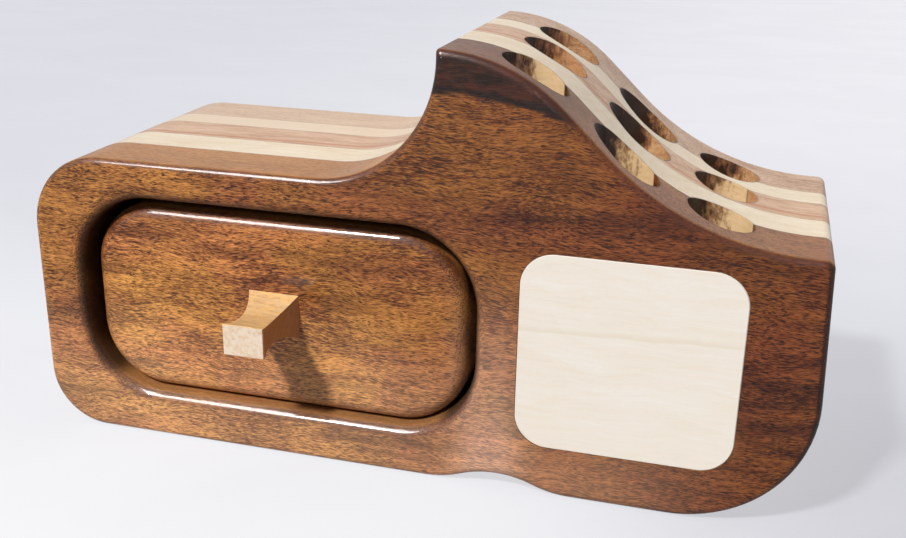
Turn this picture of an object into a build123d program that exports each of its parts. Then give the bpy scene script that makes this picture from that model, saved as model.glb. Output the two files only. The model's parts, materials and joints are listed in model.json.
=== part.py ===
from build123d import *
from math import atan, cos, degrees, radians, sin, tan
import os

# A desk pen stand with a drawer. Five boards are glued face to face into one block, the block is
# sawn to a sculpted outline, nine pen holes are bored down through its sloping top, and a drawer
# is sawn out of the same block, so that its boards carry on those of the body.
# Millimetres. +Z is up, the front faces -Y, and the origin is the middle of the footprint on the
# surface that the stand rests on.

# ---- Depth of the block, and the shares of it that the boards in front of the rear one take ----
body_depth = 100.0
front_share = 0.24
pale_share = 0.18
middle_share = 0.20
thin_pale_share = 0.14

# ---- Drawer ----
drawer_width = 138.0
drawer_height = 69.4
drawer_corner = 24.0
drawer_recess = 4.5
drawer_front_slice = 12.0
drawer_back_slice = 7.0
drawer_edge_round = 2.5
drawer_lead_in = 1.0
tray_wall = 8.0
tray_floor = 8.0
tray_corner = 14.5
tray_rim_round = 1.5

# ---- Running gaps of the drawer in its bay ----
side_gap = 3.4
top_gap = 3.0
floor_gap = 0.3
stop_gap = 0.3

# ---- Body around the bay ----
left_wall = 16.9
bay_floor = 16.8
bay_roof = 13.6
bay_edge_round = 3.0
partition = 14.6
right_margin = 24.7

# ---- Let-in plate ----
plate_width = 71.0
plate_height = 68.0
plate_corner = 11.2
plate_thickness = 3.0
plate_base = 18.1
plate_top_margin = 6.6
plate_arris = 0.3
glue_gap = 0.1

# ---- Outline of the block ----
foot_corner_left = 21.0
foot_corner_right = 44.0
side_lean = 2.4
deck_corner = 27.0
cove_radius = 41.2
crest_lip = 3.0
tower_width = 124.9
crest_radius = 59.0
slope_angle = 43.5
saddle_radius = 93.0
crest_round = 1.2
shoulder_round = 3.0
edge_round = 2.5
rear_arris = 0.8
arch_offset = 8.8
arch_reach = 25.0
arch_height = 4.7

# ---- Pen holes ----
pen_hole_diameter = 21.5
pen_columns = 3
pen_column_pitch = 30.2
last_column_margin = 36.4
last_column_setback = 3.0
front_row_inset = 7.0
middle_row_inset = 9.0
rear_row_inset = 1.7
pen_floor_height = 78.0
pen_floor_step = 20.5
bore_overrun = 1.0

# ---- Knob and its screw ----
knob_base_width = 18.4
knob_base_height = 16.0
knob_face_width = 14.8
knob_face_height = 11.2
knob_length = 25.0
knob_side_hollow = 2.4
knob_top_hollow = 2.8
knob_arris = 0.4
screw_head_radius = 4.0
screw_shank_radius = 2.0
screw_length = 25.0
screw_point = 4.0
screw_slot_width = 1.0
screw_slot_depth = 1.0
screw_clearance = 0.2
screw_pilot_gap = 0.05

# ---- Sizes that follow from those above ----
front_board = front_share * body_depth
pale_board = pale_share * body_depth
middle_board = middle_share * body_depth
thin_pale_board = thin_pale_share * body_depth
bay_depth = front_board + pale_board + middle_board + thin_pale_board
rear_board = body_depth - bay_depth
bay_width = drawer_width + 2 * side_gap
bay_height = drawer_height + top_gap + floor_gap
bay_corner = drawer_corner + side_gap
body_length = left_wall + bay_width + partition + plate_width + right_margin
deck_height = bay_floor + bay_height + bay_roof
crest_height = deck_height + cove_radius + crest_lip
shoulder_height = plate_base + plate_height + plate_top_margin
crest_x = body_length - tower_width
arch_x = left_wall + bay_width + arch_offset
arch_turn = 2 * degrees(atan(arch_height / arch_reach))
arch_radius = arch_reach / (2 * sin(radians(arch_turn)))
flank_drop = crest_height - shoulder_height - crest_radius * (1 - cos(radians(slope_angle)))
drawer_length = bay_depth - drawer_recess - stop_gap
drawer_base = bay_floor + floor_gap
drawer_middle_x = left_wall + bay_width / 2
drawer_middle_z = drawer_base + drawer_height / 2
plate_middle_x = body_length - right_margin - plate_width / 2
plate_middle_z = plate_base + plate_height / 2

os.makedirs("parts", exist_ok=True)


def board_plane(depth):
    """The upright plane that lies this far behind the front face, seen from the front."""
    corner = (-body_length / 2, depth - body_depth / 2, 0)
    return Plane(origin=corner, x_dir=(1, 0, 0), z_dir=(0, -1, 0))


def finish(part, name):
    """Label one finished piece and write it as a STEP file of the same name."""
    part.label = name
    export_step(part, f"parts/{name}.step")


# ---- Outlines, drawn from the lower left corner of the front ----
with BuildSketch() as body_outline:
    with BuildLine():
        Line((foot_corner_left, 0), (arch_x - arch_reach, 0))
        arch_rise = JernArc((arch_x - arch_reach, 0), (1, 0), arch_radius, arch_turn)
        arch_crown = JernArc(arch_rise @ 1, arch_rise % 1, arch_radius, -2 * arch_turn)
        arch_fall = JernArc(arch_crown @ 1, arch_crown % 1, arch_radius, arch_turn)
        Line(arch_fall @ 1, (body_length - foot_corner_right, 0))
        right_foot = JernArc((body_length - foot_corner_right, 0), (1, 0), foot_corner_right, 90 + side_lean)
        right_side = PolarLine(
            right_foot @ 1,
            shoulder_height - (right_foot @ 1).Y,
            direction=right_foot % 1,
            length_mode=LengthMode.VERTICAL,
        )
        crest_arc = JernArc((crest_x, crest_height), (1, 0), crest_radius, -slope_angle)
        flank = PolarLine(
            crest_arc @ 1,
            -flank_drop,
            direction=crest_arc % 1,
            length_mode=LengthMode.VERTICAL,
        )
        shoulder = Line(flank @ 1, right_side @ 1)
        cove = JernArc((crest_x - cove_radius, deck_height), (1, 0), cove_radius, 90)
        Line(cove @ 1, (crest_x, crest_height))
        Line(cove @ 0, (deck_corner, deck_height))
        left_shoulder = JernArc((deck_corner, deck_height), (-1, 0), deck_corner, 90)
        Line(left_shoulder @ 1, (0, foot_corner_left))
        JernArc((0, foot_corner_left), (0, -1), foot_corner_left, 90)
    make_face()
    crest_point = body_outline.vertices().sort_by_distance((crest_x, crest_height))[0]
    fillet(crest_point, radius=crest_round)
    saddle_point = body_outline.vertices().sort_by_distance(flank @ 1)[0]
    saddle_room = min(flank.length, shoulder.length - shoulder_round) / tan(radians(slope_angle / 2))
    fillet(saddle_point, radius=min(saddle_radius, saddle_room))
    shoulder_point = body_outline.vertices().sort_by_distance(right_side @ 1)[0]
    fillet(shoulder_point, radius=shoulder_round)

with BuildSketch() as bay_outline:
    with Locations((drawer_middle_x, bay_floor + bay_height / 2)):
        RectangleRounded(bay_width, bay_height, bay_corner)

with BuildSketch() as drawer_outline:
    with Locations((drawer_middle_x, drawer_middle_z)):
        RectangleRounded(drawer_width, drawer_height, drawer_corner)

# The tray is the drawer's outline, cut out from above down to its floor.
with BuildSketch() as tray_section:
    add(drawer_outline.sketch)
    with Locations((drawer_middle_x, drawer_base + tray_floor)):
        with Locations((0, drawer_height)):
            RectangleRounded(drawer_width - 2 * tray_wall, 2 * drawer_height, tray_corner, mode=Mode.SUBTRACT)
    rim_points = tray_section.vertices().group_by(Axis.Y)[-1]
    fillet(rim_points, radius=tray_rim_round)

# ---- Pen holes: three columns down the slope, each bored to its own floor ----
pen_row_depths = (
    front_board - front_row_inset,
    front_board + pale_board + middle_row_inset,
    bay_depth + rear_row_inset,
)
with BuildPart() as pen_bores:
    for column in range(pen_columns):
        columns_to_the_last = pen_columns - 1 - column
        setback = 0 if columns_to_the_last else last_column_setback
        bore_x = body_length / 2 - last_column_margin - columns_to_the_last * pen_column_pitch
        bore_floor = pen_floor_height - column * pen_floor_step
        bore_centres = [(bore_x, depth + setback - body_depth / 2, bore_floor) for depth in pen_row_depths]
        with Locations(*bore_centres):
            Cylinder(
                pen_hole_diameter / 2,
                crest_height + bore_overrun - bore_floor,
                align=(Align.CENTER, Align.CENTER, Align.MIN),
            )

# ---- Front board: rounded front edges, drawer opening, pocket for the plate ----
with BuildPart() as front_panel:
    with BuildSketch(board_plane(0)):
        add(body_outline.sketch)
    extrude(amount=-front_board)
    front_edges = front_panel.faces().sort_by(Axis.Y)[0].outer_wire().edges()
    fillet(front_edges, radius=edge_round)
    with BuildSketch(board_plane(0)):
        add(bay_outline.sketch)
    extrude(amount=-front_board, mode=Mode.SUBTRACT)
    bay_edges = front_panel.faces().sort_by(Axis.Y)[0].inner_wires()[0].edges()
    fillet(bay_edges, radius=bay_edge_round)
    with BuildSketch(board_plane(0)):
        with Locations((plate_middle_x, plate_middle_z)):
            RectangleRounded(
                plate_width + 2 * glue_gap,
                plate_height + 2 * glue_gap,
                plate_corner + glue_gap,
            )
    extrude(amount=-plate_thickness, mode=Mode.SUBTRACT)
    add(pen_bores.part, mode=Mode.SUBTRACT)
finish(front_panel.part, "front_panel")

# ---- The three boards between the front and the rear, each sawn through for the bay ----
inner_boards = (
    ("pale_stripe", front_board, pale_board),
    ("middle_board", front_board + pale_board, middle_board),
    ("thin_pale_stripe", front_board + pale_board + middle_board, thin_pale_board),
)
for board_name, board_start, board_thickness in inner_boards:
    with BuildPart() as inner_board:
        with BuildSketch(board_plane(board_start)):
            add(body_outline.sketch)
            add(bay_outline.sketch, mode=Mode.SUBTRACT)
        extrude(amount=-board_thickness)
        add(pen_bores.part, mode=Mode.SUBTRACT)
    finish(inner_board.part, board_name)

# ---- Rear board: closes the bay, rear edges just broken ----
with BuildPart() as back_panel:
    with BuildSketch(board_plane(bay_depth)):
        add(body_outline.sketch)
    extrude(amount=-rear_board)
    rear_edges = back_panel.faces().sort_by(Axis.Y)[-1].outer_wire().edges()
    chamfer(rear_edges, length=rear_arris)
    add(pen_bores.part, mode=Mode.SUBTRACT)
finish(back_panel.part, "back_panel")

# ---- Plate, let into the front flush with its face ----
with BuildPart() as inlay_plate:
    with BuildSketch(board_plane(0)):
        with Locations((plate_middle_x, plate_middle_z)):
            RectangleRounded(plate_width, plate_height, plate_corner)
    extrude(amount=-plate_thickness)
    plate_edges = inlay_plate.faces().sort_by(Axis.Y)[0].edges()
    chamfer(plate_edges, length=plate_arris)
finish(inlay_plate.part, "inlay_plate")

# ---- Drawer front, with the knob's screw let in from behind ----
screw_x = drawer_middle_x - body_length / 2
drawer_face_y = drawer_recess - body_depth / 2
screw_head_y = drawer_face_y + drawer_front_slice
with BuildPart() as drawer_front:
    with BuildSketch(board_plane(drawer_recess)):
        add(drawer_outline.sketch)
    extrude(amount=-drawer_front_slice)
    drawer_edges = drawer_front.faces().sort_by(Axis.Y)[0].edges()
    fillet(drawer_edges, radius=drawer_edge_round)
    with Locations(Plane(origin=(screw_x, screw_head_y, drawer_middle_z), z_dir=(0, 1, 0))):
        CounterSinkHole(
            radius=screw_shank_radius + screw_clearance,
            counter_sink_radius=screw_head_radius + screw_clearance,
            depth=drawer_front_slice,
        )
finish(drawer_front.part, "drawer_front")

# ---- Drawer tray: the rest of each board that the drawer was sawn from ----
tray_end = drawer_recess + drawer_length - drawer_back_slice
tray_slices = (
    ("drawer_tray_front", drawer_recess + drawer_front_slice, front_board),
    ("drawer_tray_pale", front_board, front_board + pale_board),
    ("drawer_tray_middle", front_board + pale_board, bay_depth - thin_pale_board),
    ("drawer_tray_rear", bay_depth - thin_pale_board, tray_end),
)
for slice_name, slice_start, slice_end in tray_slices:
    with BuildPart() as tray_slice:
        with BuildSketch(board_plane(slice_start)):
            add(tray_section.sketch)
        extrude(amount=slice_start - slice_end)
    finish(tray_slice.part, slice_name)

with BuildPart() as drawer_back:
    with BuildSketch(board_plane(tray_end)):
        add(drawer_outline.sketch)
    extrude(amount=-drawer_back_slice)
    drawer_back_edges = drawer_back.faces().sort_by(Axis.Y)[-1].edges()
    chamfer(drawer_back_edges, length=drawer_lead_in)
finish(drawer_back.part, "drawer_back")


def hollow_sided(base, face, hollow):
    """Outline of the knob seen along one of its sides: both edges are hollow arcs."""
    middle = (base + face) / 4 - hollow
    with BuildSketch(mode=Mode.PRIVATE) as outline:
        with BuildLine():
            right_edge = ThreePointArc((base / 2, 0), (middle, -knob_length / 2), (face / 2, -knob_length))
            left_edge = ThreePointArc((-face / 2, -knob_length), (-middle, -knob_length / 2), (-base / 2, 0))
            Line(right_edge @ 1, left_edge @ 0)
            Line(left_edge @ 1, right_edge @ 0)
        make_face()
    return outline.sketch


# ---- Knob: sawn to one hollow-sided outline from above and to another from the side ----
knob_root = (screw_x, drawer_face_y, drawer_middle_z)
with BuildPart() as drawer_knob:
    with BuildSketch(Plane(origin=knob_root, x_dir=(1, 0, 0), z_dir=(0, 0, 1))):
        add(hollow_sided(knob_base_width, knob_face_width, knob_side_hollow))
    extrude(amount=knob_base_height, both=True)
    with BuildSketch(Plane(origin=knob_root, x_dir=(0, 0, 1), z_dir=(-1, 0, 0))):
        add(hollow_sided(knob_base_height, knob_face_height, knob_top_hollow))
    extrude(amount=knob_base_width, both=True, mode=Mode.INTERSECT)
    knob_face_edges = drawer_knob.faces().sort_by(Axis.Y)[0].edges()
    chamfer(knob_face_edges, length=knob_arris)
    with Locations(Plane(origin=knob_root, z_dir=(0, 1, 0))):
        Hole(radius=screw_shank_radius + screw_pilot_gap, depth=screw_length - drawer_front_slice)
finish(drawer_knob.part, "drawer_knob")

# ---- Countersunk screw that holds the knob, its head flush inside the drawer ----
screw_axis = Axis((screw_x, screw_head_y, drawer_middle_z), (0, -1, 0))
with BuildPart() as knob_screw:
    with BuildSketch(Plane(origin=(screw_x, screw_head_y, drawer_middle_z))):
        with BuildLine():
            Polyline(
                (0, 0),
                (screw_head_radius, 0),
                (screw_shank_radius, screw_shank_radius - screw_head_radius),
                (screw_shank_radius, screw_point - screw_length),
                (0, -screw_length),
                close=True,
            )
        make_face()
    revolve(axis=screw_axis)
    with Locations((screw_x, screw_head_y, drawer_middle_z)):
        Box(2 * screw_head_radius, 2 * screw_slot_depth, screw_slot_width, mode=Mode.SUBTRACT)
finish(knob_screw.part, "knob_screw")
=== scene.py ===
import json
import math
from collections import namedtuple

import bpy
import numpy as np
from bpy.props import FloatProperty, FloatVectorProperty, PointerProperty
from bpy.types import Operator, Panel, PropertyGroup
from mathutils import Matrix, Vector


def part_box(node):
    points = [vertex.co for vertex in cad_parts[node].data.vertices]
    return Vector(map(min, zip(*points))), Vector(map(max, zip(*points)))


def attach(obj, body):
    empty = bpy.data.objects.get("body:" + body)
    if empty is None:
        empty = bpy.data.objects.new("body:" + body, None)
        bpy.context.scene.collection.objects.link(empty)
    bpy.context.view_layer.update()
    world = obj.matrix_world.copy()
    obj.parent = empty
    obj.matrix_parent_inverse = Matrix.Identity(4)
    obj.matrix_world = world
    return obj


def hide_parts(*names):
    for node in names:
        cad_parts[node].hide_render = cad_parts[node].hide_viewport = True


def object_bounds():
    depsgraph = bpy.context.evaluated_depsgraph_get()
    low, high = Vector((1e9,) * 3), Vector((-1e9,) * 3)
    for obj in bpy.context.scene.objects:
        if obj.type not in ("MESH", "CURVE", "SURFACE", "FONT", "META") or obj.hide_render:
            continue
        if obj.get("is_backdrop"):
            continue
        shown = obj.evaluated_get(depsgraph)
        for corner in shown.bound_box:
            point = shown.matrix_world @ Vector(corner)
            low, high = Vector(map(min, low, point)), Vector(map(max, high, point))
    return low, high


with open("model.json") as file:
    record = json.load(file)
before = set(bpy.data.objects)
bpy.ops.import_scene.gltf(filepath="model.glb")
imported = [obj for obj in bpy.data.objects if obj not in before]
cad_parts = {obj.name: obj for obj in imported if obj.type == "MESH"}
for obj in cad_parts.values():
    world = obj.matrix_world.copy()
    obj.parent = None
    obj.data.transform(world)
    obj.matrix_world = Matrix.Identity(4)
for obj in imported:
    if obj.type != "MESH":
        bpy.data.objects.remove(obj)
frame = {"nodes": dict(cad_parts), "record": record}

bl_info = {
    "name": "Pen Stand Finisher",
    "version": (1, 0, 0),
    "blender": (4, 5, 0),
    "location": "3D View > Sidebar > Pen Stand",
    "description": "Finishes the boards, drawer, plate and knob of a desk pen stand and lights it",
    "category": "Object",
}

MM = 1000.0

# The lamps, seen from the stand's middle: two directions, and a place in metres.
KEY_DIRECTION = Vector((-0.32, -0.61, 0.73))
FILL_DIRECTION = Vector((0.55, 0.35, 0.76))
CARD_PLACE = Vector((-0.56, -0.76, 1.0))

# The camera's place in metres, its turn in degrees and its sensor's width in millimetres.
CAMERA_PLACE = (0.10614, -0.37477, 0.20070)
CAMERA_TURN = (69.900, -1.044, 15.511)
SENSOR_WIDTH = 36.0

# The floor's half width in metres and its points along a side, and the colour of the light from all round.
FLOOR_REACH = 12.0
FLOOR_POINTS = 9
SKY_COLOUR = (0.97, 0.98, 1.0, 1.0)

# The axes of the pen holes, as X and Y in millimetres, and how much more or less each wall is burned.
HOLES = [
    [MM * (low + high) / 2 for low, high in zip(*(corner[:2] for corner in opening["box_m"]))]
    for opening in frame["record"]["physics"]["openings"]
    if opening["name"].startswith("pen_hole") and not opening["name"].endswith("_across")
]
HOLE_HEAT = (-0.09, -0.02, 0.0, -0.01, 0.08, 0.12, -0.01, -0.02, 0.06)

# Where the front walnut changes tone, in millimetres: the X (ACROSS) or Z (UP) at which a change starts and
# then is full. A patch's REACH is the distance from its middle.
# DUSK: the darker right end, partly the wood's tone and partly painted shade.
DUSK_ACROSS = (-110.0, 110.0)
# LOW_PATCH and SIDE_PATCH place painted sheen on the front walnut.
LOW_PATCH_ACROSS = (124.0, 64.0)
LOW_PATCH_UP = (66.0, 4.0)
SIDE_PATCH_MIDDLE = 31.0
SIDE_PATCH_REACH = (20.0, 3.0)
SIDE_PATCH_UP = (86.0, 50.0)
DRAWER_PATCH_HALF_WIDTH = 56.0
DRAWER_PATCH_HALF_HEIGHT = 26.0
DECK_ACROSS = (40.0, 10.0)
DECK_UP = (122.0, 110.0)
CREST_UP = (120.0, 142.0)
# RIGHT_END: where painted shade on the right end's rounded edge starts and is full.
RIGHT_END_ACROSS = (120.0, 132.0)

# The heart streak under the crest: where it fades out, its line's height, where that bends, and its fall.
HEART_ACROSS = (66.0, 50.0)
HEART_LINE = 134.6
HEART_BEND = 14.5
HEART_FALL = 0.0043

# The tan line on the plate: its height at X = 0, and its rise along X.
PLATE_LINE_HEIGHT = 57.4
PLATE_LINE_RISE = 0.044

# The Y near which the red-brown streak runs along the middle board.
TAN_STREAK_DEPTH = -4.5

# How strong each part of a wood's figure is.
Look = namedtuple("Look", "ring_depth figure streak fleck pores")


def node_box(node):
    """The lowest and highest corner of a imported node, in millimetres."""
    low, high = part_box(node)
    return low * MM, high * MM


# ---- Sizes and colours that a user would change ----


def size(name, description, default):
    """A length in millimetres on the wood."""
    return FloatProperty(name=name, description=description, default=default, min=0.01)


def strength(name, description, default):
    """A share, or the strength of light from all round."""
    return FloatProperty(name=name, description=description, default=default, min=0.0)


def power(name, description, default):
    """The power of a lamp, in watts."""
    return FloatProperty(name=name, description=description, default=default, min=0.0, unit="POWER")


def metres(name, description, default):
    """A length in metres in the studio."""
    return FloatProperty(
        name=name, description=description, default=default, min=0.01, unit="LENGTH", subtype="DISTANCE",
    )


def colour(name, description, default):
    """A display colour, from 0 to 255 a channel."""
    return FloatVectorProperty(
        name=name, description=description, default=[c / 255 for c in default], size=3,
        min=0.0, max=1.0, subtype="COLOR_GAMMA",
    )


class PenStandSizes(PropertyGroup):
    """Sizes of the finish, in millimetres on the wood."""

    hole_radius: size("Pen Hole Radius", "Radius that the pen holes were drilled to", 10.75)
    bay_half_width: size("Bay Half Width", "Half the width of the drawer's opening", 72.4)
    bay_half_height: size("Bay Half Height", "Half the height of the drawer's opening", 36.35)
    bay_corner: size("Bay Corner", "Corner radius of the drawer's opening", 27.4)
    bay_floor: size("Bay Floor", "Height of the drawer opening's lowest line", 16.8)
    bay_edge_cut: size("Bay Edge As Packed", "Rounding of the opening's front edge as packed", 3.0)
    bay_edge: size("Bay Edge", "Rounding that the opening's front edge is widened to", 4.3)
    drawer_corner: size("Drawer Corner", "Corner radius of the drawer's front", 24.0)
    drawer_edge_cut: size("Drawer Edge As Packed", "Rounding of the drawer's front edge as packed", 2.5)
    drawer_edge: size("Drawer Edge", "Rounding that the drawer's front edge is widened to", 5.4)
    glue_line: size("Glue Line", "Half the width of the dark line between two boards", 0.16)
    pore_length: size("Pore Length", "Usual length of an open pore in the wood", 3.2)


class PenStandColours(PropertyGroup):
    """Colours of the woods as they look under the lacquer, with the painted shade and sheen laid on them.
    """

    walnut_pale: colour("Walnut Pale", "Palest fibres of the front walnut", (214, 152, 88))
    walnut_deep: colour("Walnut Deep", "Darkest fibres of the front walnut", (104, 55, 27))
    walnut_pore: colour("Walnut Pore", "Open pores of the front walnut", (56, 26, 12))
    walnut_gold: colour("Walnut Gold", "Tint of the golden patches of the walnut", (255, 240, 196))
    walnut_rose: colour("Walnut Rose", "Tint of the rosy patches of the walnut", (250, 218, 206))
    # Painted shade, with the wood's own darker tone, at the walnut's right end.
    walnut_dusk_and_shade: colour("Walnut Dusk", "Tint of the walnut's darker right end", (174, 152, 145))
    walnut_band: colour("Walnut Band", "Tint of the dark bands along the walnut", (150, 132, 128))
    # Painted sheen: lightens the walnut low down and in a patch right of the drawer.
    walnut_sheen_lift: colour("Walnut Sap", "Lightening of the walnut's pale patches", (160, 176, 198))
    # Painted sheen: a thin haze over the same patches.
    walnut_sheen_haze: colour("Walnut Haze", "Thin haze over the walnut's pale patches", (222, 184, 150))
    # Painted shade on the walnut's rounded upper edges.
    walnut_edge_shade: colour("Walnut Red", "Fibres on the walnut's rounded upper edges", (80, 36, 18))
    # The tone that the walnut's upper faces are mixed towards.
    walnut_top: colour("Walnut Top", "Side fibres on the walnut's upper faces", (141, 98, 66))
    drawer_lift: colour("Drawer Lift", "Lightening of the drawer's front", (134, 146, 142))
    # Also painted as shade on the right end's rounded edge.
    heart: colour("Heart Streak", "The dark heartwood under the crest", (20, 10, 6))
    heart_warm: colour("Heart Warm", "Red-brown patches in the dark heartwood", (76, 34, 20))
    cream_pale: colour("Cream Pale", "Palest fibres of the cream boards", (246, 232, 210))
    cream_deep: colour("Cream Deep", "Darkest fibres of the cream boards", (228, 204, 170))
    tan_pale: colour("Tan Pale", "Palest fibres of the middle board", (230, 196, 164))
    tan_deep: colour("Tan Deep", "Darkest fibres of the middle board", (188, 142, 108))
    tan_streak: colour("Tan Streak", "The red-brown streak in the middle board", (190, 120, 80))
    rear_pale: colour("Rear Pale", "Palest fibres of the rear board", (228, 196, 166))
    rear_deck: colour("Rear Deck", "The rear boards where they run pale, over the drawer", (226, 196, 168))
    rear_deep: colour("Rear Deep", "Darkest fibres of the rear board", (176, 132, 100))
    plate_pale: colour("Plate Pale", "Palest fibres of the let-in plate", (242, 235, 226))
    plate_deep: colour("Plate Deep", "Darkest fibres of the let-in plate", (236, 224, 206))
    plate_line: colour("Plate Line", "The tan line of grain across the plate", (222, 202, 168))
    knob_pale: colour("Knob Pale", "Palest fibres of the knob", (228, 196, 146))
    knob_deep: colour("Knob Deep", "Darkest fibres of the knob", (196, 148, 92))
    knob_gold: colour("Knob Gold", "Golden patches of the knob", (232, 182, 104))
    # Painted shade on the knob's right side.
    knob_shade: colour("Knob Shade", "The knob's redder right side", (172, 98, 52))
    knob_end: colour("Knob End", "End grain of the knob's face", (238, 218, 196))
    toast: colour("Toast", "Tint of the drilled walls of the pen holes", (252, 232, 200))
    # The singe and burn reach further on walls facing +X, as painted shade.
    singe: colour("Singe", "The brown round the burned patches of the drilled walls", (122, 70, 34))
    burn: colour("Burn", "Patches of the drilled walls where the bit burned them", (30, 16, 10))
    glue: colour("Glue", "The dark line between two boards", (63.75, 38.25, 25.5))
    # Painted shade round the drawer's opening.
    bay_shade: colour("Bay Shade", "The dark edge of the drawer's opening", (15.3, 8.925, 7.65))
    steel: colour("Screw Steel", "The knob's zinc-plated screw", (176, 172, 160))


class PenStandStage(PropertyGroup):
    """Floor, light and camera."""

    floor: colour("Floor", "The pale cloth that the stand rests on", (206, 207, 214))
    # The near and far colours are painted light; the side colour is painted shadow beside the stand.
    floor_near_light: colour("Floor Near", "The cloth at the near left, where it is brightest", (245, 245, 246))
    floor_side_shadow: colour("Floor Side", "The cloth at the near right, where it is dullest", (175, 174, 181))
    floor_far_light: colour("Floor Far", "The cloth at the far right", (229, 228, 233))
    floor_lit: colour("Floor Lit", "Share of the cloth that takes light and shadows", (103, 104, 107))
    floor_glow: strength("Floor Glow", "Share of the cloth's colour that is even for the camera", 0.866)
    floor_shade: colour("Floor Shade", "The cloth as the stand's lacquer mirrors it", (168, 169, 174))
    sky: strength("Sky", "Strength of the light from all round", 0.13)
    sheen: strength("Sheen", "Strength of what the lacquer mirrors all round", 0.60)
    backdrop: strength("Backdrop", "Brightness of what the camera sees past the floor", 0.8)
    key_power: power("Key Power", "Power of the lamp at the upper left", 1620.0)
    key_distance: metres("Key Distance", "How far off the lamp at the upper left stands", 12.0)
    key_size: metres("Key Size", "Width of the lamp at the upper left", 1.1)
    card_power: power("Card Power", "Power of the lamp that only the lacquer mirrors", 38.0)
    card_width: metres("Card Width", "Width of the lamp that only the lacquer mirrors", 0.42)
    card_height: metres("Card Height", "Height of the lamp that only the lacquer mirrors", 0.7)
    fill_power: power("Fill Power", "Power of the wide lamp behind the right end", 71.0)
    fill_distance: metres("Fill Distance", "How far off the lamp behind the right end stands", 6.0)
    fill_size: metres("Fill Size", "Width of the lamp behind the right end", 3.0)
    lens: FloatProperty(
        name="Lens", description="Focal length of the camera", default=44.36, min=1.0, unit="CAMERA",
    )


def settings():
    """The sizes and the colours as the scene holds them."""
    scene = bpy.context.scene
    return scene.pen_stand_sizes, scene.pen_stand_colours


# ---- Node trees ----


def linear(gamma_colour):
    """The scene-linear RGBA of a display colour: the sRGB curve undone channel by channel."""
    c = np.array(gamma_colour[:3], float)
    straight = np.where(c <= 0.04045, c / 12.92, ((c + 0.055) / 1.055) ** 2.4)
    return (*straight, 1.0)


class Tree:
    """Short calls that add nodes to one tree and wire them. A value is a socket, a number or a tuple."""

    def __init__(self, tree):
        self.tree = tree

    def node(self, kind, inputs=None, **options):
        made = self.tree.nodes.new("ShaderNode" + kind)
        for key, value in options.items():
            setattr(made, key, value)
        for key, value in (inputs or {}).items():
            self.wire(made.inputs[key], value)
        return made

    def wire(self, socket, value):
        if isinstance(value, bpy.types.NodeSocket):
            self.tree.links.new(value, socket)
        elif value is not None:
            socket.default_value = value

    def fill(self, node, sockets, values):
        """Wires values to a node's sockets, which are given by number."""
        for key, value in zip(sockets, values):
            self.wire(node.inputs[key], value)

    def math(self, operation, *values, clamp=False):
        made = self.node("Math", operation=operation, use_clamp=clamp)
        self.fill(made, range(3), values)
        return made.outputs[0]

    def times(self, first, *others):
        """The product of several values."""
        for other in others:
            first = self.math("MULTIPLY", first, other)
        return first

    def plus(self, first, *others):
        """The sum of several values."""
        for other in others:
            first = self.math("ADD", first, other)
        return first

    def away(self, value, middle):
        """How far a value lies from a middle one, on either side."""
        return self.math("ABSOLUTE", self.math("SUBTRACT", value, middle))

    def vector(self, operation, *values):
        made = self.node("VectorMath", operation=operation)
        self.fill(made, range(3), values)
        return made.outputs["Value" if operation in ("LENGTH", "DISTANCE") else "Vector"]

    def noise(self, place, scale, detail=2.0, roughness=0.5, distortion=0.0):
        """Noise from 0 to 1. Scale is how many features lie in one unit along X, Y and Z."""
        made = self.node("TexNoise", {
            "Vector": self.vector("MULTIPLY", place, scale), "Scale": 1.0, "Detail": detail,
            "Roughness": roughness, "Distortion": distortion,
        })
        return made.outputs[0]

    def waver(self, place, scale, detail=2.0, roughness=0.5):
        """Noise from -0.5 to 0.5."""
        return self.math("SUBTRACT", self.noise(place, scale, detail, roughness), 0.5)

    def step(self, value, start, end):
        """0 before start, 1 after end and smooth between; with end under start it falls."""
        made = self.node("MapRange", {"Value": value}, interpolation_type="SMOOTHSTEP")
        if start < end:
            spans = (start, end, 0.0, 1.0)
        else:
            spans = (end, start, 1.0, 0.0)
        for key, span in zip(("From Min", "From Max", "To Min", "To Max"), spans):
            made.inputs[key].default_value = span
        return made.outputs[0]

    def mix(self, factor, first, second, blend="MIX"):
        """The first colour where factor is 0 and the blend with the second where it is 1."""
        made = self.node("Mix", data_type="RGBA", blend_type=blend)
        self.fill(made, (0, 6, 7), (factor, first, second))
        return made.outputs[2]

    def choose(self, factor, first, second):
        """The first number where factor is 0 and the second where it is 1."""
        made = self.node("Mix", data_type="FLOAT")
        self.fill(made, (0, 2, 3), (factor, first, second))
        return made.outputs[0]

    def split(self, vector):
        return self.node("SeparateXYZ", {0: vector}).outputs

    def normal(self):
        """The way the surface faces, in the object's own directions."""
        return self.node("TexCoord").outputs["Normal"]

    def group(self, tree, **inputs):
        made = self.node("Group", node_tree=tree)
        for key, value in inputs.items():
            self.wire(made.inputs[key.replace("_", " ")], value)
        return made.outputs


def group_tree(name, inputs, outputs):
    """A shader node group with named sockets, its builder and the sockets inside it."""
    tree = bpy.data.node_groups.new(name, "ShaderNodeTree")
    for in_out, sockets in (("INPUT", inputs), ("OUTPUT", outputs)):
        for label, kind in sockets.items():
            tree.interface.new_socket(name=label, in_out=in_out, socket_type="NodeSocket" + kind)
    build = Tree(tree)
    entry = tree.nodes.new("NodeGroupInput")
    leave = tree.nodes.new("NodeGroupOutput")
    return tree, build, entry.outputs, leave.inputs


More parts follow.
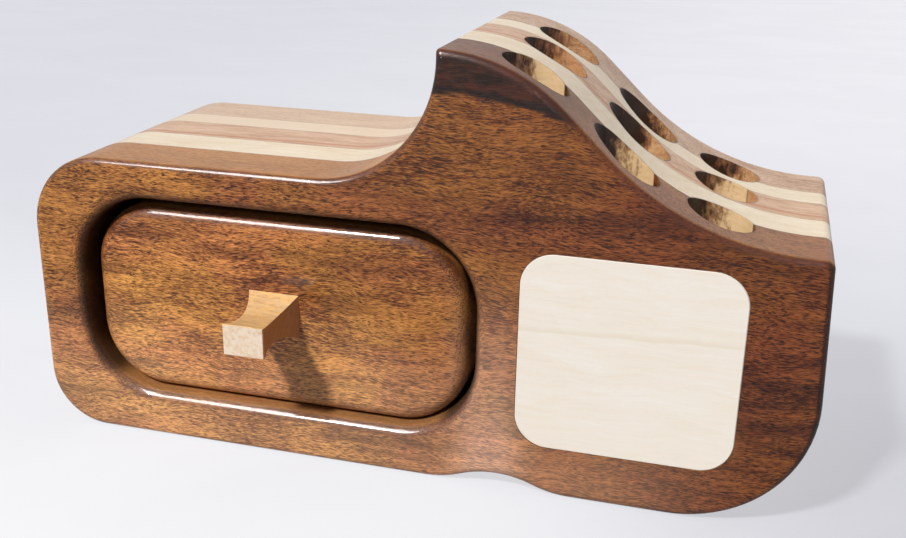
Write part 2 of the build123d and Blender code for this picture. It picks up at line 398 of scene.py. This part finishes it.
def wood_figure_group():
    """Solid wood whose fibres run along X, with every scale in features per millimetre.

    The pith lies far off. Bent rings round it, broad figure, fibre streaks and flecks give the tone.
    The pores are darker, and sunk in the relief.
    """
    tree, t, given, out = group_tree(
        "Wood Figure",
        {"Position": "Vector", "Pale": "Color", "Deep": "Color", "Pore": "Color", "Ring Spacing": "Float",
         "Ring Depth": "Float", "Figure": "Float", "Streak": "Float", "Fleck": "Float", "Pores": "Float",
         "Pore Length": "Float"},
        {"Color": "Color", "Relief": "Float", "Pore Mask": "Float"},
    )
    place = given["Position"]
    wander = t.times(t.waver(place, (0.010, 0.026, 0.026), detail=3.0), 26.0)
    bend_place = t.vector("MULTIPLY", place, (0.024, 0.03, 0.03))
    bend = t.node("TexNoise", {"Vector": bend_place, "Scale": 1.0, "Detail": 2.0}).outputs["Color"]
    bend = t.vector("SUBTRACT", bend, (0.5, 0.5, 0.5))
    place = t.vector("ADD", place, t.vector("MULTIPLY", bend, (0.0, 9.0, 9.0)))
    x, y, z = t.split(place)
    radius = t.math("SQRT", t.plus(t.math("POWER", y, 2.0), t.math("POWER", z, 2.0)))
    turns = t.math("DIVIDE", t.plus(radius, wander), given["Ring Spacing"])
    late = t.math("POWER", t.math("FRACT", turns), 3.0)
    figure = t.waver(place, (0.030, 0.075, 0.075), detail=4.0, roughness=0.55)
    streak = t.waver(place, (0.045, 0.80, 0.80), detail=4.0, roughness=0.6)
    fleck = t.waver(place, (0.42, 3.8, 3.8), detail=2.0, roughness=0.6)
    tone = t.plus(0.5, t.times(figure, given["Figure"]), t.times(streak, given["Streak"]))
    tone = t.plus(tone, t.times(fleck, given["Fleck"]))
    tone = t.math("SUBTRACT", tone, t.times(late, given["Ring Depth"]), clamp=True)
    along = t.node("CombineXYZ", {0: t.math("DIVIDE", x, given["Pore Length"]), 1: y, 2: z}).outputs[0]
    pore_noise = t.noise(along, (1.0, 2.8, 2.8), detail=1.0, roughness=0.5)
    pore = t.step(t.math("SUBTRACT", pore_noise, t.times(figure, 0.25)), 0.55, 0.64)
    depth = t.times(pore, given["Pores"])
    t.wire(out["Color"], t.mix(depth, t.mix(tone, given["Deep"], given["Pale"]), given["Pore"]))
    t.wire(out["Relief"], t.math("SUBTRACT", t.times(tone, 0.35), depth))
    t.wire(out["Pore Mask"], depth)
    return tree


def bored_holes_group(radius):
    """The drilled walls of the pen holes, and where they are burned.

    A wall reaches 0.3 mm past the drill's radius from the nearest axis, and its rim 1.3 mm past it.
    Burns are noise on the wall, and each hole has its own heat. Where the wall faces +X, away from the
    lamp, they are stronger, as painted shade.
    """
    tree, t, given, out = group_tree(
        "Bored Holes", {"Position": "Vector", "Normal": "Vector"},
        {"Wall": "Float", "Singe": "Float", "Burn": "Float", "Rim": "Float"},
    )
    place = given["Position"]
    x, y, _ = t.split(place)
    level = t.node("CombineXYZ", {0: x, 1: y}).outputs[0]
    nearest = None
    heat = 0.0
    for (hole_x, hole_y), hole_heat in zip(HOLES, HOLE_HEAT):
        away = t.vector("DISTANCE", level, (hole_x, hole_y, 0.0))
        nearest = away if nearest is None else t.math("MINIMUM", nearest, away)
        heat = t.plus(heat, t.times(t.step(away, radius + 2.0, radius + 0.5), hole_heat))
    wall = t.step(nearest, radius + 0.30, radius + 0.08)
    t.wire(out["Wall"], wall)
    t.wire(out["Rim"], t.math("SUBTRACT", t.step(nearest, radius + 1.3, radius + 0.1), wall, clamp=True))
    patch = t.noise(place, (0.17, 0.17, 0.11), detail=5.0, roughness=0.68)
    scratch = t.noise(place, (0.9, 0.9, 0.25), detail=3.0, roughness=0.6)
    # Painted shade: walls facing +X, away from the lamp, singe and burn darker.
    shaded_side = t.times(t.split(given["Normal"])[0], 0.24)
    burn = t.plus(t.times(patch, 0.75), t.times(scratch, 0.25), shaded_side, heat)
    t.wire(out["Singe"], t.times(t.step(burn, 0.42, 0.56), wall))
    t.wire(out["Burn"], t.times(t.step(burn, 0.52, 0.66), wall))
    return tree


def dark_bay_group(middle, half_width, half_height, corner):
    """Painted shade at the edge of the drawer's opening, by the distance in X and Z to a rounded rectangle.

    It starts 2.8 mm outside the outline, is full from 0.2 mm outside to 0.5 mm inside, and ends 1.5 mm in.
    Along the opening's lowest edge it has 0.3 of its strength.
    """
    tree, t, given, out = group_tree("Dark Bay", {"Position": "Vector"}, {"Mask": "Float"})
    x, _, z = t.split(given["Position"])
    flat = t.node("CombineXYZ", {0: x, 2: z}).outputs[0]
    from_middle = t.vector("ABSOLUTE", t.vector("SUBTRACT", flat, (middle[0], 0.0, middle[1])))
    past = t.vector("SUBTRACT", from_middle, (half_width - corner, 0.0, half_height - corner))
    reach = t.vector("LENGTH", t.vector("MAXIMUM", past, (0.0, 0.0, 0.0)))
    outside = t.math("SUBTRACT", reach, corner)
    lowest = middle[1] - half_height
    raised = t.math("MAXIMUM", t.step(z, lowest + 1.0, lowest + 8.0), 0.30)
    t.wire(out["Mask"], t.times(t.step(outside, 2.8, 0.2), t.step(outside, -1.5, -0.5), raised))
    return tree


# ---- Materials ----


def bay_middle(sizes):
    """The middle of the drawer's opening, as X and Z."""
    low, high = node_box("drawer_front")
    return (low.x + high.x) / 2, sizes.bay_floor + sizes.bay_half_height


def shared_groups(sizes):
    """The node groups, built once and kept by name."""
    made = {g.name: g for g in bpy.data.node_groups}
    if "Wood Figure" not in made:
        made["Wood Figure"] = wood_figure_group()
        made["Bored Holes"] = bored_holes_group(sizes.hole_radius)
        made["Dark Bay"] = dark_bay_group(
            bay_middle(sizes), sizes.bay_half_width, sizes.bay_half_height, sizes.bay_corner
        )
    return made


def new_material(name, coat, coat_roughness):
    """A material with its shader, its builder and the object's own position in millimetres."""
    material = bpy.data.materials.new(name)
    material.use_nodes = True
    t = Tree(material.node_tree)
    shader = material.node_tree.nodes["Principled BSDF"]
    shader.inputs["Coat Weight"].default_value = coat
    shader.inputs["Coat Roughness"].default_value = coat_roughness
    place = t.vector("MULTIPLY", t.node("TexCoord").outputs["Object"], (MM, MM, MM))
    return material, t, shader, place


def lacquered_wood(name, pale, deep, pore, shift, rings, look, tint=None, boards=(), roughness=0.42,
                   coat=0.35, specular=0.25, holes=True, bay=True):
    """Lacquered solid wood.

    Shift is where in the tree the board lies, rings the ring spacing in millimetres, boards the Y of each
    glue line on it, and tint a function that recolours the wood. Holes and bay say whether it reaches them.
    """
    sizes, colours = settings()
    groups = shared_groups(sizes)
    material, t, shader, place = new_material(name, coat, coat_roughness=0.08)
    wood = t.group(
        groups["Wood Figure"], Position=t.vector("ADD", place, shift), Pale=linear(pale), Deep=linear(deep),
        Pore=linear(pore), Ring_Spacing=rings, Ring_Depth=look.ring_depth, Figure=look.figure,
        Streak=look.streak, Fleck=look.fleck, Pores=look.pores, Pore_Length=sizes.pore_length,
    )
    shown = wood["Color"]
    if tint:
        shown = tint(t, place, shown)
    for depth in boards:
        line = t.step(t.away(t.split(place)[1], depth), 2 * sizes.glue_line, sizes.glue_line)
        shown = t.mix(t.times(line, 0.45), shown, linear(colours.glue))
    # Painted shade round the drawer's opening, where the gap lies in shadow.
    if bay:
        dark = t.group(groups["Dark Bay"], Position=place)["Mask"]
        shown = t.mix(t.times(dark, 0.85), shown, linear(colours.bay_shade))
    gloss = t.plus(roughness, t.times(wood["Pore Mask"], 0.18))
    if holes:
        bored = t.group(groups["Bored Holes"], Position=place, Normal=t.normal())
        shown = t.mix(t.times(bored["Rim"], 0.25), shown, linear(colours.burn))
        shown = t.mix(bored["Wall"], shown, linear(colours.toast), blend="MULTIPLY")
        shown = t.mix(t.times(bored["Singe"], 0.8), shown, linear(colours.singe))
        shown = t.mix(t.times(bored["Burn"], 0.92), shown, linear(colours.burn))
        gloss = t.plus(gloss, t.times(bored["Wall"], 0.1))
    shader.inputs["Specular IOR Level"].default_value = specular
    t.wire(shader.inputs["Base Color"], shown)
    t.wire(shader.inputs["Roughness"], gloss)
    bump = t.node("Bump", {"Strength": 0.35, "Distance": 0.00012, "Height": wood["Relief"]})
    t.wire(shader.inputs["Normal"], bump.outputs[0])
    return material


def give(node, material):
    """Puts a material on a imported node, in place of what it came with."""
    slots = frame["nodes"][node].material_slots
    if not slots:
        frame["nodes"][node].data.materials.append(material)
    for slot in slots:
        slot.material = material


def upper_faces(t, x, z, wood):
    """The front walnut where it looks up: duller, paler over the drawer and red-brown on the crest."""
    colours = settings()[1]
    upper = t.mix(0.55, wood, linear(colours.walnut_top))
    deck = t.times(t.step(z, *DECK_UP), t.step(x, *DECK_ACROSS), 0.4)
    upper = t.mix(deck, upper, linear(colours.walnut_pale))
    return t.mix(t.times(t.step(z, *CREST_UP), 0.5), upper, linear(colours.heart_warm))


def pale_patches(t, x, z, drift, wood):
    """Painted sheen on the walnut low down and in a patch right of the drawer; the drawer's front is paler.
    """
    sizes, colours = settings()
    low = t.times(t.step(t.plus(z, t.times(drift, 0.6)), *LOW_PATCH_UP), t.step(x, *LOW_PATCH_ACROSS))
    side = t.times(t.step(t.away(x, SIDE_PATCH_MIDDLE), *SIDE_PATCH_REACH), t.step(z, *SIDE_PATCH_UP))
    # Both patches are painted sheen.
    for patch, haze in ((low, 0.18), (side, 0.14)):
        wood = t.mix(patch, wood, linear(colours.walnut_sheen_lift), blend="DODGE")
        wood = t.mix(t.times(patch, haze), wood, linear(colours.walnut_sheen_haze))
    middle_x, middle_z = bay_middle(sizes)
    across = t.step(t.away(x, middle_x), sizes.bay_half_width - 2.0, DRAWER_PATCH_HALF_WIDTH)
    up = t.step(t.away(z, middle_z), sizes.bay_half_height - 1.0, DRAWER_PATCH_HALF_HEIGHT)
    return t.mix(t.times(across, up), wood, linear(colours.drawer_lift), blend="DODGE")


def heart_streak(t, place, x, z, wood):
    """Dark heartwood above a line that is level up to its bend and falls as the square of the way past it.

    The line wavers a little, and a darker border follows it.
    """
    colours = settings()[1]
    past_bend = t.math("MAXIMUM", t.math("SUBTRACT", x, HEART_BEND), 0.0)
    fall = t.times(t.math("POWER", past_bend, 2.0), HEART_FALL)
    fringe = t.times(t.waver(place, (0.12, 0.5, 0.5), detail=3.0), 3.0)
    height = t.plus(t.math("SUBTRACT", z, HEART_LINE), fall, fringe)
    patch = t.step(t.noise(place, (0.07, 0.24, 0.24), detail=4.0, roughness=0.65), 0.42, 0.62)
    heart_wood = t.mix(t.times(patch, 0.8), linear(colours.heart), linear(colours.heart_warm))
    reach = t.step(x, *HEART_ACROSS)
    wood = t.mix(t.times(t.step(height, -0.8, 0.6), reach, 0.95), wood, heart_wood)
    border = t.times(t.step(height, -1.5, -0.2), t.step(height, 2.2, 0.4), reach)
    return t.mix(t.times(border, 0.8), wood, linear(colours.heart))


def walnut_tint(t, place, wood):
    """The front board: gold and rose patches, dark bands, and a right end darker in tone and painted shade.

    Its rounded upper edges and its right end's edge carry painted shade. Its pale patches of painted sheen,
    heart streak and upper faces come from the three functions above.
    """
    colours = settings()[1]
    x, _, z = t.split(place)
    hue = t.step(t.noise(place, (0.026, 0.045, 0.045), detail=4.0), 0.40, 0.62)
    hue = t.mix(hue, linear(colours.walnut_gold), linear(colours.walnut_rose))
    wood = t.mix(0.8, wood, hue, blend="MULTIPLY")
    upper = upper_faces(t, x, z, wood)
    drift = t.times(t.waver(place, (0.02, 0.03, 0.03), detail=3.0), 70.0)
    # Painted shade, with the wood's own darker tone, towards the right end.
    dusk = t.step(t.plus(x, drift), *DUSK_ACROSS)
    wood = t.mix(dusk, wood, linear(colours.walnut_dusk_and_shade), blend="MULTIPLY")
    band = t.step(t.noise(place, (0.016, 0.13, 0.13), detail=4.0, roughness=0.6), 0.50, 0.66)
    wood = t.mix(t.times(band, 0.6), wood, linear(colours.walnut_band), blend="MULTIPLY")
    wood = pale_patches(t, x, z, drift, wood)
    wood = heart_streak(t, place, x, z, wood)
    to_right, to_rear, to_top = t.split(t.normal())
    # Painted shade on the rounded upper edges.
    edge_shade = t.times(t.step(to_top, 0.10, 0.40), t.step(to_rear, -0.15, -0.40))
    wood = t.mix(t.times(edge_shade, 0.55), wood, linear(colours.walnut_edge_shade))
    # Painted shade on the right end's rounded edge, which faces away from the lamp, in the heartwood
    # colour.
    right_end_shade = t.times(t.step(to_right, 0.15, 0.45), t.step(to_rear, -0.05, -0.30))
    right_end_shade = t.times(right_end_shade, t.step(x, *RIGHT_END_ACROSS), 0.7)
    wood = t.mix(right_end_shade, wood, linear(colours.heart))
    facing_up = t.times(t.step(to_top, 0.42, 0.70), t.step(to_rear, -0.60, -0.20))
    return t.mix(t.times(facing_up, 0.85), wood, upper)


def plate_tint(t, place, wood):
    """One tan line of grain that climbs a little across the plate, and a warmer tone low down."""
    colours = settings()[1]
    x, _, z = t.split(place)
    wander = t.times(t.waver(place, (0.05, 0.0, 0.05), detail=3.0), 2.4)
    climb = t.plus(t.times(x, PLATE_LINE_RISE), wander, PLATE_LINE_HEIGHT)
    above = t.math("SUBTRACT", z, climb)
    line = t.times(t.step(above, -0.5, 0.0), t.step(above, 2.6, 0.1))
    wood = t.mix(t.times(line, 0.35), wood, linear(colours.plate_line))
    return t.mix(t.times(t.step(z, 34.0, 16.0), 0.4), wood, linear(colours.plate_deep))


def rear_tint(t, place, wood):
    """The upper faces of the two rear boards come near to one tone over the drawer."""
    to_top = t.split(t.normal())[2]
    deck = t.times(t.step(t.split(place)[0], 10.0, -30.0), t.step(to_top, 0.05, 0.45))
    return t.mix(t.times(deck, 0.5), wood, linear(settings()[1].rear_deck))


def tan_tint(t, place, wood):
    """A red-brown streak that wanders near the front of the middle board."""
    wander = t.times(t.waver(place, (0.012, 0.0, 0.012)), 8.0)
    away = t.away(t.plus(t.split(place)[1], wander), TAN_STREAK_DEPTH)
    return t.mix(t.times(t.step(away, 1.6, 0.3), 0.75), wood, linear(settings()[1].tan_streak))


def knob_tint(t, place, wood):
    """The knob: golden patches, redder painted shade on the right side, speckled pale end grain on the
    face.
    """
    colours = settings()[1]
    to_right, to_rear, _ = t.split(t.normal())
    mottle = t.noise(place, (0.30, 0.42, 0.30), detail=4.0, roughness=0.62, distortion=0.8)
    wood = t.mix(t.times(t.step(mottle, 0.46, 0.62), 0.7), wood, linear(colours.knob_gold))
    # Painted shade on the knob's right side, which faces away from the lamp.
    wood = t.mix(t.times(t.step(to_right, 0.4, 0.9), 0.7), wood, linear(colours.knob_shade))
    speckle = t.noise(place, (0.55, 0.55, 0.55), detail=4.0, roughness=0.68)
    end_grain = t.mix(t.times(t.step(speckle, 0.40, 0.66), 0.5), linear(colours.knob_end), wood)
    return t.mix(t.step(to_rear, -0.93, -0.99), wood, end_grain)


# ---- Boards whose front edges are rounder than packed ----


def rounded_rectangle(points, middle, half, corner):
    """Signed distance in X and Z to a rectangle with rounded corners, above 0 outside, and the way out.

    The distance is how far a point lies past the rectangle shrunk by the corner radius, less that radius.
    """
    flat = points[:, (0, 2)] - middle
    past = np.abs(flat) - (np.array(half) - corner)
    reach = np.maximum(past, 0.0)
    length = np.linalg.norm(reach, axis=1)
    return length - corner, np.sign(flat) * reach / np.maximum(length, 1e-9)[:, None]


def widened_edge(node, name, middle, half, corner, radius, wider):
    """A copy of a board whose rounded front edge along a rounded rectangle is wider.

    A point of that edge lies no further than radius from the rectangle and from the board's front face.
    Both distances are multiplied by wider / radius, so the quarter circle stays round and the planes beside
    it stay flat. The copy is merged first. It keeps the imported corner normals, which fit any such circle.
    """
    slack = 0.01
    source = frame["nodes"][node].data
    points = np.empty(3 * len(source.vertices), np.float32)
    source.vertices.foreach_get("co", points)
    corners = np.empty(len(source.loops), np.int32)
    source.loops.foreach_get("vertex_index", corners)
    normals = np.empty(3 * len(source.loops), np.float32)
    source.corner_normals.foreach_get("vector", normals)
    places, joined = np.unique((MM * points.reshape(-1, 3)).round(3), axis=0, return_inverse=True)
    triangles = joined.ravel()[corners].reshape(-1, 3)
    whole = (triangles != np.roll(triangles, 1, axis=1)).all(axis=1)
    away, outward = rounded_rectangle(places, middle, half, corner)
    depth = places[:, 1] - places[:, 1].min()
    on_edge = (np.abs(away) < radius + slack) & (depth < radius + slack)
    growth = on_edge * (wider / radius - 1.0)
    places += growth[:, None] * np.stack([away * outward[:, 0], depth, away * outward[:, 1]], axis=1)
    mesh = bpy.data.meshes.new(name)
    mesh.from_pydata((places / MM).tolist(), [], triangles[whole].tolist())
    mesh.shade_smooth()
    mesh.normals_split_custom_set(normals.reshape(-1, 3, 3)[whole].reshape(-1, 3).tolist())
    made = bpy.data.objects.new(name, mesh)
    bpy.context.scene.collection.objects.link(made)
    return made


# ---- Operators ----


class PENSTAND_OT_body(Operator):
    """Finish the five boards of the body"""

    bl_idname = "pen_stand.body"
    bl_label = "Finish Body Boards"

    def execute(self, context):
        sizes, colours = settings()
        cream_front = node_box("pale_stripe")[0].y
        tan_front = node_box("middle_board")[0].y
        thin_cream_front = node_box("thin_pale_stripe")[0].y
        rear_front = node_box("back_panel")[0].y
        cream_look = Look(ring_depth=0.22, figure=0.8, streak=1.2, fleck=0.9, pores=0.10)
        walnut = lacquered_wood(
            "front_walnut", colours.walnut_pale, colours.walnut_deep, colours.walnut_pore,
            shift=(40.0, 170.0, -260.0), rings=9.0, tint=walnut_tint, boards=(cream_front,), coat=0.4,
            look=Look(ring_depth=0.16, figure=1.2, streak=1.3, fleck=3.1, pores=0.88), specular=0.15,
        )
        cream = lacquered_wood(
            "cream_stripe", colours.cream_pale, colours.cream_deep, colours.tan_deep,
            shift=(310.0, 90.0, 420.0), rings=4.0, look=cream_look, boards=(cream_front, tan_front),
        )
        tan = lacquered_wood(
            "tan_middle", colours.tan_pale, colours.tan_deep, colours.tan_streak,
            shift=(-150.0, 240.0, 380.0), rings=5.0, tint=tan_tint, boards=(tan_front, thin_cream_front),
            look=Look(ring_depth=0.35, figure=1.2, streak=1.7, fleck=1.0, pores=0.20),
        )
        thin_cream = lacquered_wood(
            "cream_thin_stripe", colours.cream_pale, colours.cream_deep, colours.tan_deep,
            shift=(620.0, -310.0, 150.0), rings=4.0, look=cream_look, tint=rear_tint,
            boards=(thin_cream_front, rear_front),
        )
        rear = lacquered_wood(
            "rear_walnut", colours.rear_pale, colours.rear_deep, colours.walnut_deep,
            shift=(500.0, 330.0, -520.0), rings=7.0, tint=rear_tint, boards=(rear_front,), bay=False,
            look=Look(ring_depth=0.22, figure=0.9, streak=1.2, fleck=1.6, pores=0.45),
        )
        give("front_panel", walnut)
        give("pale_stripe", cream)
        give("middle_board", tan)
        give("thin_pale_stripe", thin_cream)
        give("back_panel", rear)
        board = widened_edge(
            "front_panel", "front_board", bay_middle(sizes), (sizes.bay_half_width, sizes.bay_half_height),
            sizes.bay_corner, sizes.bay_edge_cut, sizes.bay_edge,
        )
        board.data.materials.append(walnut)
        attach(board, "stand")
        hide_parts("front_panel")
        return {"FINISHED"}


class PENSTAND_OT_plate(Operator):
    """Finish the let-in plate, left bare"""

    bl_idname = "pen_stand.plate"
    bl_label = "Finish Plate"

    def execute(self, context):
        colours = settings()[1]
        give("inlay_plate", lacquered_wood(
            "plate_wood", colours.plate_pale, colours.plate_deep, colours.cream_deep,
            shift=(75.0, 610.0, 205.0), rings=6.0, tint=plate_tint, roughness=0.5, coat=0.15,
            look=Look(ring_depth=0.25, figure=0.9, streak=1.3, fleck=0.7, pores=0.06),
            holes=False, bay=False,
        ))
        return {"FINISHED"}


class PENSTAND_OT_drawer(Operator):
    """Finish the drawer's front, tray and back, each slice as the board that it was sawn from"""

    bl_idname = "pen_stand.drawer"
    bl_label = "Finish Drawer"

    def execute(self, context):
        nodes = frame["nodes"]
        for drawer_node, body_node in (
            ("drawer_front", "front_panel"), ("drawer_tray_front", "front_panel"),
            ("drawer_tray_pale", "pale_stripe"), ("drawer_tray_middle", "middle_board"),
            ("drawer_tray_rear", "thin_pale_stripe"), ("drawer_back", "thin_pale_stripe"),
        ):
            if not nodes[body_node].material_slots:
                raise RuntimeError(f"{body_node} has no finish yet, so {drawer_node} can't match it")
            give(drawer_node, nodes[body_node].material_slots[0].material)
        sizes = settings()[0]
        low, high = node_box("drawer_front")
        middle, half = (low + high) / 2, (high - low) / 2
        face = widened_edge(
            "drawer_front", "drawer_face", (middle.x, middle.z), (half.x, half.z), sizes.drawer_corner,
            sizes.drawer_edge_cut, sizes.drawer_edge,
        )
        face.data.materials.append(nodes["front_panel"].material_slots[0].material)
        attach(face, "drawer")
        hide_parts("drawer_front")
        return {"FINISHED"}


class PENSTAND_OT_knob(Operator):
    """Finish the knob and its screw"""

    bl_idname = "pen_stand.knob"
    bl_label = "Finish Knob"

    def execute(self, context):
        colours = settings()[1]
        give("drawer_knob", lacquered_wood(
            "knob_wood", colours.knob_pale, colours.knob_deep, colours.walnut_pale,
            shift=(20.0, 33.0, -40.0), rings=2.4, tint=knob_tint, roughness=0.45, coat=0.2,
            look=Look(ring_depth=0.55, figure=1.0, streak=1.4, fleck=1.0, pores=0.30),
            holes=False, bay=False,
        ))
        scratch_shade = 0.8
        material, t, shader, place = new_material("screw_steel", coat=0.0, coat_roughness=0.1)
        brushed = t.noise(place, (0.8, 0.8, 9.0), detail=3.0, roughness=0.6)
        scratched = linear([scratch_shade * c for c in colours.steel])
        t.wire(shader.inputs["Base Color"], t.mix(brushed, scratched, linear(colours.steel)))
        t.wire(shader.inputs["Roughness"], t.plus(0.25, t.times(brushed, 0.2)))
        shader.inputs["Metallic"].default_value = 1.0
        give("knob_screw", material)
        return {"FINISHED"}


def grid_mesh(name, points):
    """A mesh of the quads between neighbours in a grid of points, shaped rows by columns by three."""
    rows, columns = points.shape[:2]
    index = np.arange(rows * columns).reshape(rows, columns)
    quads = np.stack([index[:-1, :-1], index[:-1, 1:], index[1:, 1:], index[1:, :-1]], axis=-1)
    mesh = bpy.data.meshes.new(name)
    mesh.from_pydata(points.reshape(-1, 3).tolist(), [], quads.reshape(-1, 4).tolist())
    mesh.shade_smooth()
    return mesh


def cloth_material(stage):
    """The floor's cloth, in metres from the stand's middle, with faint creases, painted light and shadow.

    The camera sees most of its colour as even light, and the rest takes the lamps' light and the shadows.
    """
    cloth = bpy.data.materials.new("floor_cloth")
    cloth.use_nodes = True
    t = Tree(cloth.node_tree)
    shader = cloth.node_tree.nodes["Principled BSDF"]
    seen = t.node("LightPath").outputs["Is Camera Ray"]
    t.wire(shader.inputs["Base Color"], t.mix(seen, linear(stage.floor_shade), linear(stage.floor_lit)))
    place = t.node("TexCoord").outputs["Object"]
    x, y, _ = t.split(place)
    # Painted light at the far right and near left, painted shadow at the near right and in the creases.
    far = t.times(t.step(x, -0.60, 0.40), t.step(y, -0.05, 0.60))
    near = t.times(t.step(x, 0.60, -0.20), t.step(y, 0.25, -0.25))
    near = t.times(near, t.step(t.vector("LENGTH", place), 2.6, 0.9))
    side = t.times(t.step(x, 0.02, 0.22), t.step(y, 0.20, -0.15))
    crease = t.noise(place, (7.0, 11.0, 7.0), detail=3.0, roughness=0.55, distortion=0.6)
    crease_shade = t.times(t.step(crease, 0.62, 0.40), 0.06)
    shown = linear(stage.floor)
    shown = t.mix(far, shown, linear(stage.floor_far_light))
    shown = t.mix(near, shown, linear(stage.floor_near_light))
    shown = t.mix(side, shown, linear(stage.floor_side_shadow))
    shown = t.mix(crease_shade, shown, linear(stage.floor_side_shadow))
    t.wire(shader.inputs["Emission Color"], shown)
    t.wire(shader.inputs["Emission Strength"], t.times(seen, stage.floor_glow))
    shader.inputs["Roughness"].default_value = 0.9
    bump = t.node("Bump", {"Strength": 0.5, "Distance": 0.004, "Height": crease})
    t.wire(shader.inputs["Normal"], bump.outputs[0])
    return cloth


def lamp(name, power, width, height, place, aim):
    """An area lamp at a place, facing another."""
    data = bpy.data.lights.new(name, "AREA")
    data.shape = "RECTANGLE"
    data.energy, data.size, data.size_y = power, width, height
    made = bpy.data.objects.new(name, data)
    bpy.context.scene.collection.objects.link(made)
    made.location = place
    made.rotation_euler = (aim - made.location).to_track_quat("-Z", "Y").to_euler()
    return made


def studio_world(stage):
    """Light from all round, with its own strength for wood, for mirroring lacquer and for the camera."""
    world = bpy.data.worlds.new("studio")
    world.use_nodes = True
    t = Tree(world.node_tree)
    back = world.node_tree.nodes["Background"]
    ray = t.node("LightPath").outputs
    around = t.choose(ray["Is Glossy Ray"], stage.sky, stage.sheen)
    t.wire(back.inputs["Strength"], t.choose(ray["Is Camera Ray"], around, stage.backdrop))
    back.inputs["Color"].default_value = SKY_COLOUR
    return world


class PENSTAND_OT_stage(Operator):
    """Set the floor, the light and the camera"""

    bl_idname = "pen_stand.stage"
    bl_label = "Set Stage"

    def execute(self, context):
        scene, stage = context.scene, context.scene.pen_stand_stage
        low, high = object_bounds()
        middle = (low + high) / 2
        span = np.linspace(-FLOOR_REACH, FLOOR_REACH, FLOOR_POINTS)
        flat = np.stack([*np.meshgrid(span, span), np.zeros((FLOOR_POINTS, FLOOR_POINTS))], axis=-1)
        floor = bpy.data.objects.new("floor", grid_mesh("floor", flat))
        scene.collection.objects.link(floor)
        floor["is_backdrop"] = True
        floor.data.materials.append(cloth_material(stage))
        key_place = middle + stage.key_distance * KEY_DIRECTION
        lamp("key_lamp", stage.key_power, stage.key_size, stage.key_size, key_place, middle)
        card_place = middle + CARD_PLACE
        card = lamp("card_lamp", stage.card_power, stage.card_width, stage.card_height, card_place, middle)
        card.visible_diffuse = False
        fill_place = middle + stage.fill_distance * FILL_DIRECTION
        fill = lamp("fill_lamp", stage.fill_power, stage.fill_size, stage.fill_size, fill_place, middle)
        fill.visible_glossy = False
        scene.world = studio_world(stage)
        scene.view_settings.view_transform = "Standard"
        camera = bpy.data.objects.new("camera", bpy.data.cameras.new("camera"))
        scene.collection.objects.link(camera)
        camera.data.sensor_fit = "HORIZONTAL"
        camera.data.sensor_width = SENSOR_WIDTH
        camera.data.lens = stage.lens
        camera.location = CAMERA_PLACE
        camera.rotation_euler = [math.radians(angle) for angle in CAMERA_TURN]
        scene.camera = camera
        return {"FINISHED"}


class PENSTAND_PT_panel(Panel):
    """The steps that finish the pen stand, in order"""

    bl_idname = "PENSTAND_PT_panel"
    bl_label = "Pen Stand"
    bl_space_type = "VIEW_3D"
    bl_region_type = "UI"
    bl_category = "Pen Stand"

    def draw(self, context):
        for group in GROUPS:
            values = getattr(context.scene, group)
            for name in values.__annotations__:
                self.layout.prop(values, name)
        for operator in STEPS:
            self.layout.operator(operator.bl_idname)


STEPS = (PENSTAND_OT_body, PENSTAND_OT_plate, PENSTAND_OT_drawer, PENSTAND_OT_knob, PENSTAND_OT_stage)
GROUPS = {
    "pen_stand_sizes": PenStandSizes,
    "pen_stand_colours": PenStandColours,
    "pen_stand_stage": PenStandStage,
}


def register():
    """Registers the classes and hangs the property groups on the scene."""
    for kind in (*GROUPS.values(), *STEPS, PENSTAND_PT_panel):
        bpy.utils.register_class(kind)
    for name, kind in GROUPS.items():
        setattr(bpy.types.Scene, name, PointerProperty(type=kind))


def unregister():
    """Takes both off again, in the opposite order."""
    for name in GROUPS:
        delattr(bpy.types.Scene, name)
    for kind in reversed((*GROUPS.values(), *STEPS, PENSTAND_PT_panel)):
        bpy.utils.unregister_class(kind)


def main():
    """Registers the add-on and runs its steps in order."""
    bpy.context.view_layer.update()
    register()
    for operator in STEPS:
        family, step = operator.bl_idname.split(".")
        getattr(getattr(bpy.ops, family), step)()


if __name__ == "__main__":
    main()
